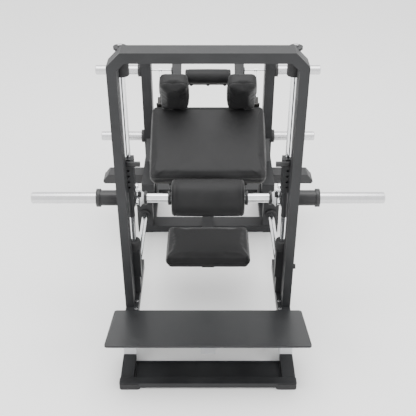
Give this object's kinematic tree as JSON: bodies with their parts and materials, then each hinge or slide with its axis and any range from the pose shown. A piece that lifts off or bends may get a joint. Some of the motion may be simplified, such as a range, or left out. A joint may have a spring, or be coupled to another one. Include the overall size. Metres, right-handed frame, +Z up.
{
  "type": "leg press machine",
  "caption": "Plate-loaded press machine with a sloped foot plate, a portal, a guided roller bar with weight horns, and a reclined bench with shoulder pads.",
  "frame": {"origin": "on the floor, below the middle of the machine's overall box", "axes": "+X to the right of someone facing the machine from the foot plate, +Y from the foot plate to the bench, +Z up"},
  "size_m": [1.512, 1.58, 1.32],
  "materials": {
    "frame_paint": "matte textured powder coat",
    "plate_paint": "satin, faintly brushed",
    "light_paint": "satin",
    "rubber": "matte",
    "chrome": "polished",
    "brushed": "satin, turned",
    "black_plastic": "moulded, matte",
    "bolt_steel": "zinc plated",
    "upholstery": "fine-grained synthetic leather",
    "board": "black stained plywood"
  },
  "bodies": {
    "front_frame": {"front_beam": "frame_paint", "base_tubes": "frame_paint", "front_feet": "rubber", "step_plate": "frame_paint", "risers": "light_paint", "side_beam_left": "frame_paint", "side_beam_right": "frame_paint", "foot_plate": "plate_paint", "portal_arch": "frame_paint", "rod_posts": "frame_paint", "bumpers": "rubber", "guide_rod_left": "chrome", "guide_rod_right": "chrome", "rod_brackets": "frame_paint", "slide_rod_left": "chrome", "slide_rod_right": "chrome", "frame_bolts": "bolt_steel"},
    "bar_carriage": {"carriage_left": "frame_paint", "carriage_right": "frame_paint", "carriage_pegs": "black_plastic", "cross_bar": "chrome", "bar_sleeve_left": "black_plastic", "bar_sleeve_right": "black_plastic", "weight_horn_left": "brushed", "weight_horn_right": "brushed", "bell_collars": "light_paint", "bar_collars": "black_plastic", "hook_pins": "chrome"},
    "roller": {"roller_core": "bolt_steel", "roller_pad": "upholstery"},
    "left_hook": {"hook_left": "chrome", "hook_button_left": "rubber"},
    "right_hook": {"hook_right": "chrome", "hook_button_right": "rubber"},
    "knob": {"lock_knob": "black_plastic"},
    "bench": {"bench_front_beam": "frame_paint", "bench_rear_beam": "frame_paint", "bench_sides": "frame_paint", "bench_feet": "rubber", "sockets": "frame_paint", "bushings": "rubber", "upright_left": "frame_paint", "upright_right": "frame_paint", "side_arms": "frame_paint", "side_grips": "black_plastic", "rail_left": "frame_paint", "rail_right": "frame_paint", "rail_supports": "frame_paint", "back_board": "board", "back_pad": "upholstery", "shoulder_plates": "frame_paint", "shoulder_pad_left": "upholstery", "shoulder_pad_right": "upholstery", "head_roll": "upholstery", "roll_mount": "frame_paint", "seat_frame": "frame_paint", "seat_pad": "upholstery", "storage_pegs": "brushed", "peg_flanges": "black_plastic", "stay_rods": "chrome"}
  },
  "joints": [
    {"name": "bar_lift", "type": "slide", "parent": "front_frame", "child": "bar_carriage", "axis": [0, 0, 1], "range_m": [0, 0.34]},
    {"name": "roller_spin", "type": "hinge", "parent": "bar_carriage", "child": "roller", "pos_m": [0, -0.221, 0.59], "axis": [1, 0, 0], "continuous": true},
    {"name": "left_hook_swing", "type": "hinge", "parent": "bar_carriage", "child": "left_hook", "pos_m": [-0.299, -0.2715, 0.663], "axis": [1, 0, 0], "range_deg": [-30, 0]},
    {"name": "right_hook_swing", "type": "hinge", "parent": "bar_carriage", "child": "right_hook", "pos_m": [0.299, -0.2715, 0.663], "axis": [1, 0, 0], "range_deg": [-30, 0]},
    {"name": "knob_pull", "type": "slide", "parent": "front_frame", "child": "knob", "axis": [1, 0, 0], "range_m": [0, 0.01], "stiffness_N_per_m": 600},
    {"name": "bench_slide", "type": "slide", "parent": "front_frame", "child": "bench", "axis": [0, 1, 0], "range_m": [-0.09, 0.06]}
  ],
  "couplings": [
    {"joint": "right_hook_swing", "follows": "left_hook_swing", "ratio": 1}
  ]
}
